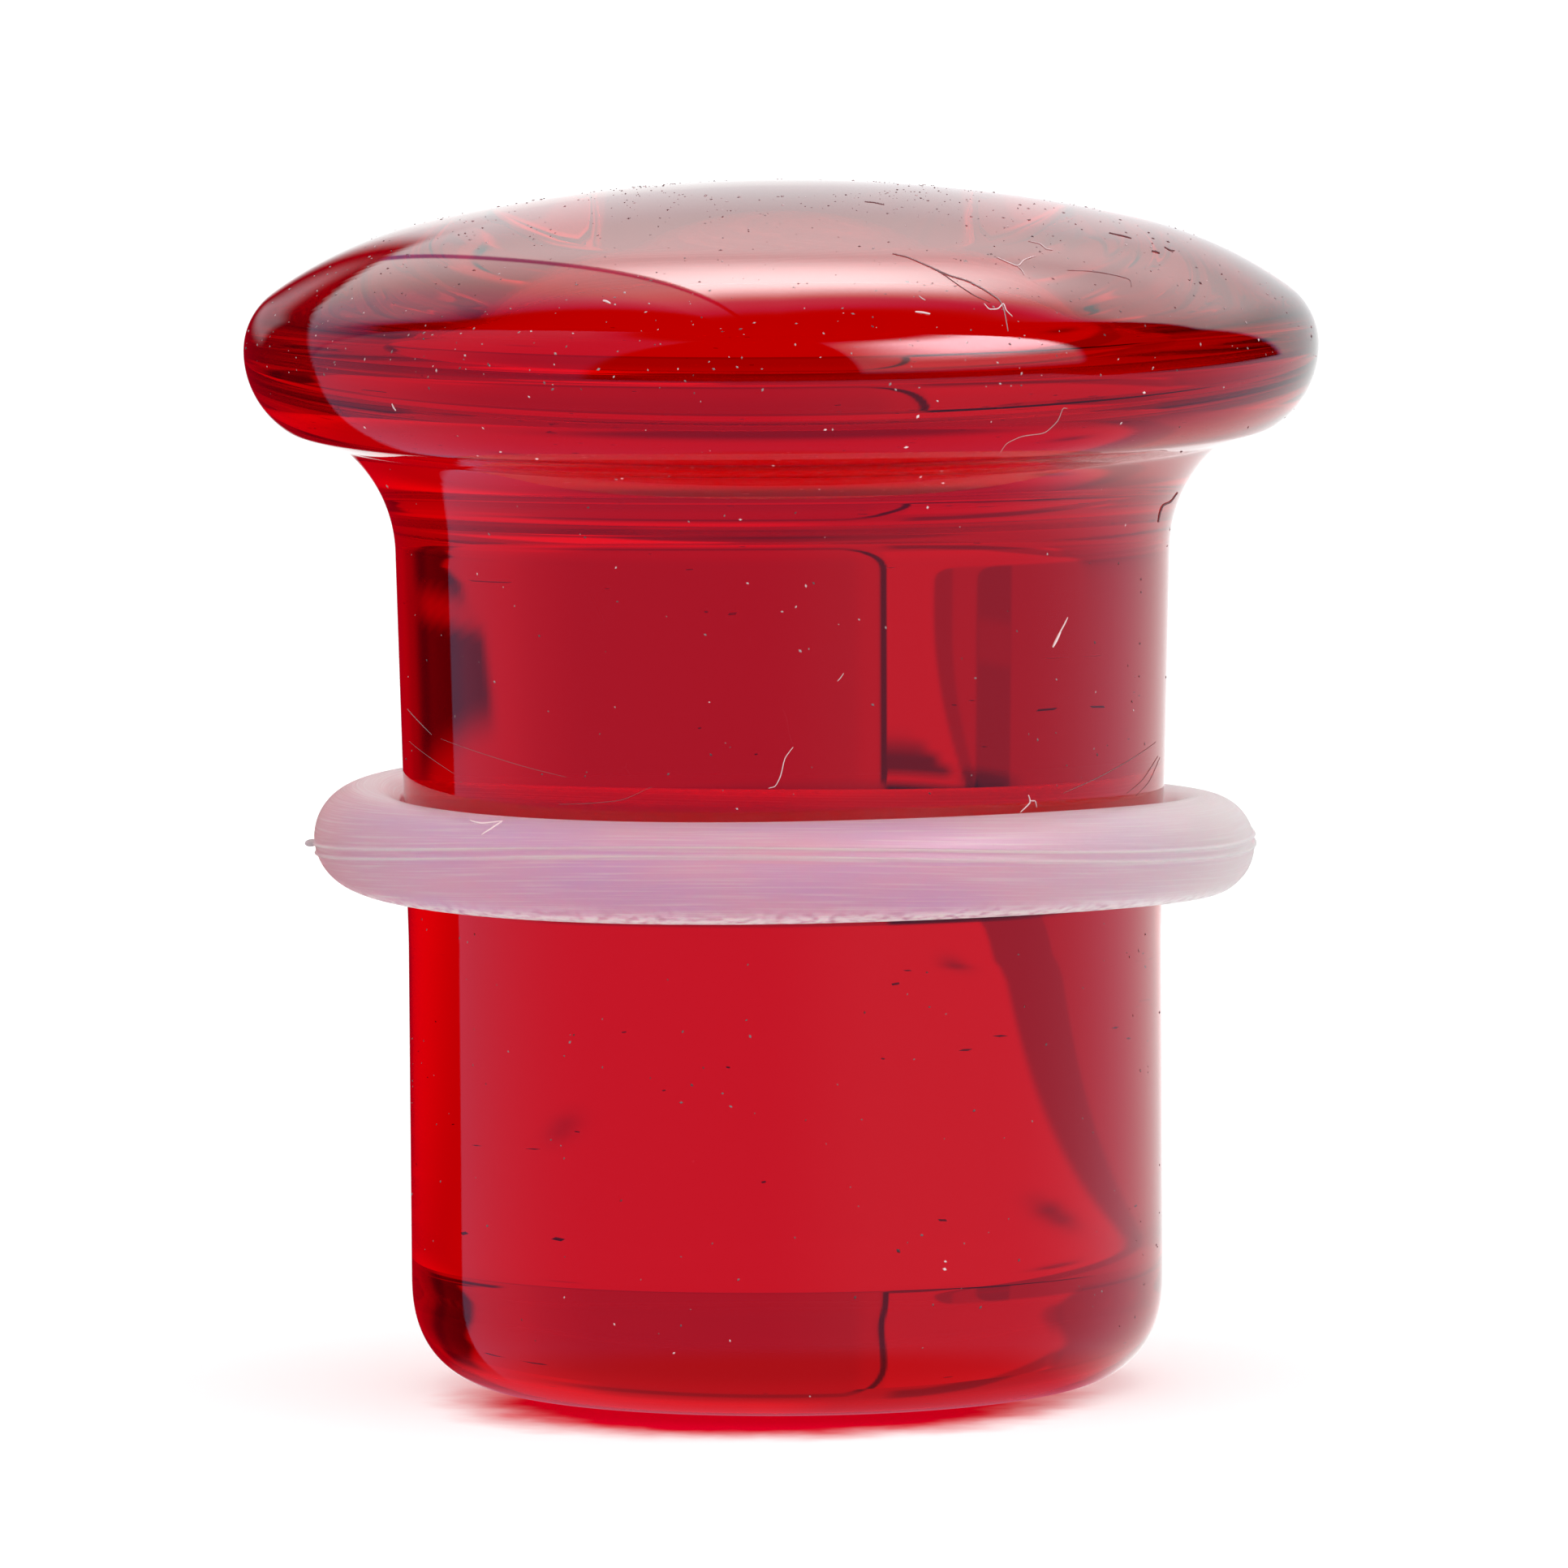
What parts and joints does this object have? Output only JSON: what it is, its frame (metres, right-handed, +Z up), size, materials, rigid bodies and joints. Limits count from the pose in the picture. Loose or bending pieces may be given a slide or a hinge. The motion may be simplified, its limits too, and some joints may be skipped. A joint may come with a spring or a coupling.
{
  "type": "single-flare glass ear plug",
  "caption": "Ear plug of solid red glass with a domed flare, a plain rounded bare end and a soft silicone ring that holds it in the lobe.",
  "frame": {"origin": "middle of the flat base of the bare end, on which it stands", "axes": "+Z up along the plug, from the bare end to the top of the dome"},
  "size_m": [0.0142, 0.0142, 0.0158],
  "materials": {
    "ruby_glass": "fire-polished, transparent",
    "clear_silicone": "moulded, milky and translucent, satin"
  },
  "bodies": {
    "root": {"glass_plug": "ruby_glass", "silicone_ring": "clear_silicone"}
  },
  "joints": []
}
